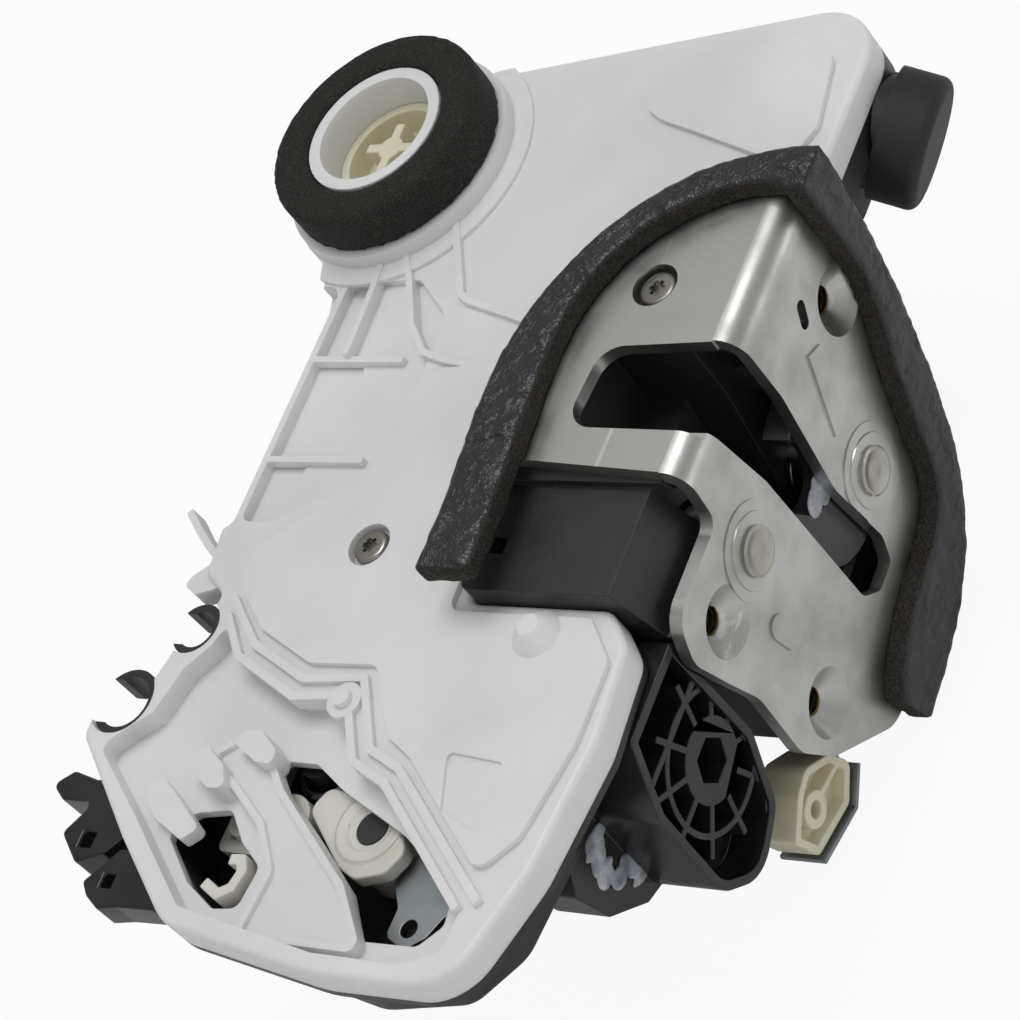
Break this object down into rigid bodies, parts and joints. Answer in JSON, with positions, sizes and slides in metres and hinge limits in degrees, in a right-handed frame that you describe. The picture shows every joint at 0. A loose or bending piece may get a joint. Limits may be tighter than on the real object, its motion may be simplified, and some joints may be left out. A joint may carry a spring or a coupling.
{
  "type": "door latch actuator",
  "caption": "Car door latch with a claw and pawl behind a zinc-plated steel face, a white ribbed actuator cover, foam seals and release levers.",
  "frame": {"origin": "mouth of the lower front fixing thread in the steel face", "axes": "+X the way the fixing screws leave, out of the door's end face; +Y up the car along the bend of the steel plate, the longest extent; +Z the outward normal of the white cover"},
  "size_m": [0.1273, 0.1915, 0.0855],
  "materials": {
    "zinc_plate": "satin",
    "rivet_steel": "satin",
    "case_black": "matte",
    "cover_white": "satin",
    "foam_black": "matte",
    "claw_grey": "satin",
    "lever_white": "satin",
    "clip_cream": "satin",
    "lever_zinc": "satin",
    "spring_steel": "satin",
    "rubber_black": "matte",
    "contact_brass": "satin",
    "gear_plastic": "satin",
    "motor_steel": "satin",
    "screw_steel": "satin"
  },
  "bodies": {
    "housing": {"latch_plate": "zinc_plate", "claw_pin": "rivet_steel", "pawl_pin": "rivet_steel", "back_plate": "zinc_plate", "latch_case": "case_black", "claw_spring": "spring_steel", "pawl_spring": "spring_steel", "striker_bumper": "rubber_black", "claw_switch": "case_black", "pawl_switch": "case_black", "case_screw": "screw_steel", "foam_gasket": "foam_black", "actuator_cover": "cover_white", "foam_ring": "foam_black", "cover_screw": "screw_steel", "rear_housing": "case_black", "mechanism_housing": "case_black", "handle_pin": "rivet_steel", "motor": "motor_steel", "lever_spring": "spring_steel", "connector_socket": "case_black", "connector_boot": "rubber_black", "contact_pins": "contact_brass", "cable_clip_upper": "case_black", "cable_clip_lower": "case_black"},
    "claw": {"claw_core": "rivet_steel", "claw_jacket": "claw_grey"},
    "pawl": {"pawl": "rivet_steel"},
    "key_coupling": {"key_coupling": "clip_cream"},
    "worm_wheel": {"worm_wheel": "gear_plastic"},
    "worm": {"worm": "contact_brass"},
    "lock_slider": {"lock_slider": "lever_white"},
    "lock_lever": {"lock_lever": "lever_white"},
    "inside_lever": {"inside_lever": "lever_white"},
    "link_lever": {"link_lever": "lever_zinc"},
    "outside_handle": {"handle_lever": "lever_zinc", "rod_clip": "clip_cream", "clip_leaf": "lever_zinc"}
  },
  "joints": [
    {"name": "claw_hinge", "type": "hinge", "parent": "housing", "child": "claw", "pos_m": [-0.0025, 0.0436, -0.0215], "axis": [1, 0, 0], "range_deg": [0, 60], "stiffness_Nm_per_rad": 0.01, "springref_deg": -22.92},
    {"name": "pawl_hinge", "type": "hinge", "parent": "housing", "child": "pawl", "pos_m": [-0.0025, 0.0134, 0.0003], "axis": [1, 0, 0], "range_deg": [0, 10]},
    {"name": "key_turn", "type": "hinge", "parent": "housing", "child": "key_coupling", "pos_m": [-0.0926, 0.0837, 0.0165], "axis": [0, 0, 1], "range_deg": [-45, 45], "stiffness_Nm_per_rad": 0.01},
    {"name": "wheel_turn", "type": "hinge", "parent": "housing", "child": "worm_wheel", "pos_m": [-0.066, 0.02, 0.004], "axis": [0, 0, -1], "range_deg": [0, 30]},
    {"name": "worm_spin", "type": "hinge", "parent": "housing", "child": "worm", "pos_m": [-0.04878, 0.02, 0.006], "axis": [0, 1, 0], "range_deg": [0, 900]},
    {"name": "lock_slide", "type": "slide", "parent": "housing", "child": "lock_slider", "axis": [0, 1, 0], "range_m": [0, 0.00314]},
    {"name": "lock_swing", "type": "hinge", "parent": "housing", "child": "lock_lever", "pos_m": [-0.0625, -0.047, 0.005], "axis": [0, 0, -1], "range_deg": [0, 15.2]},
    {"name": "inside_swing", "type": "hinge", "parent": "housing", "child": "inside_lever", "pos_m": [-0.043, -0.047, 0.003], "axis": [0, 0, 1], "range_deg": [0, 20], "stiffness_Nm_per_rad": 0.01, "springref_deg": -17.19},
    {"name": "link_swing", "type": "hinge", "parent": "housing", "child": "link_lever", "pos_m": [-0.0245, -0.0515, 0.004], "axis": [0, 0, 1], "range_deg": [0, 12], "stiffness_Nm_per_rad": 0.01, "springref_deg": -17.19},
    {"name": "handle_swing", "type": "hinge", "parent": "housing", "child": "outside_handle", "pos_m": [-0.01075, -0.0185, -0.0265], "axis": [-1, 0, 0], "range_deg": [0, 15], "stiffness_Nm_per_rad": 0.02, "springref_deg": -17.19}
  ],
  "couplings": [
    {"joint": "wheel_turn", "follows": "lock_slide", "rad_per_m": 166.67},
    {"joint": "worm_spin", "follows": "lock_slide", "rad_per_m": 5000},
    {"joint": "lock_swing", "follows": "lock_slide", "rad_per_m": 83.333}
  ]
}
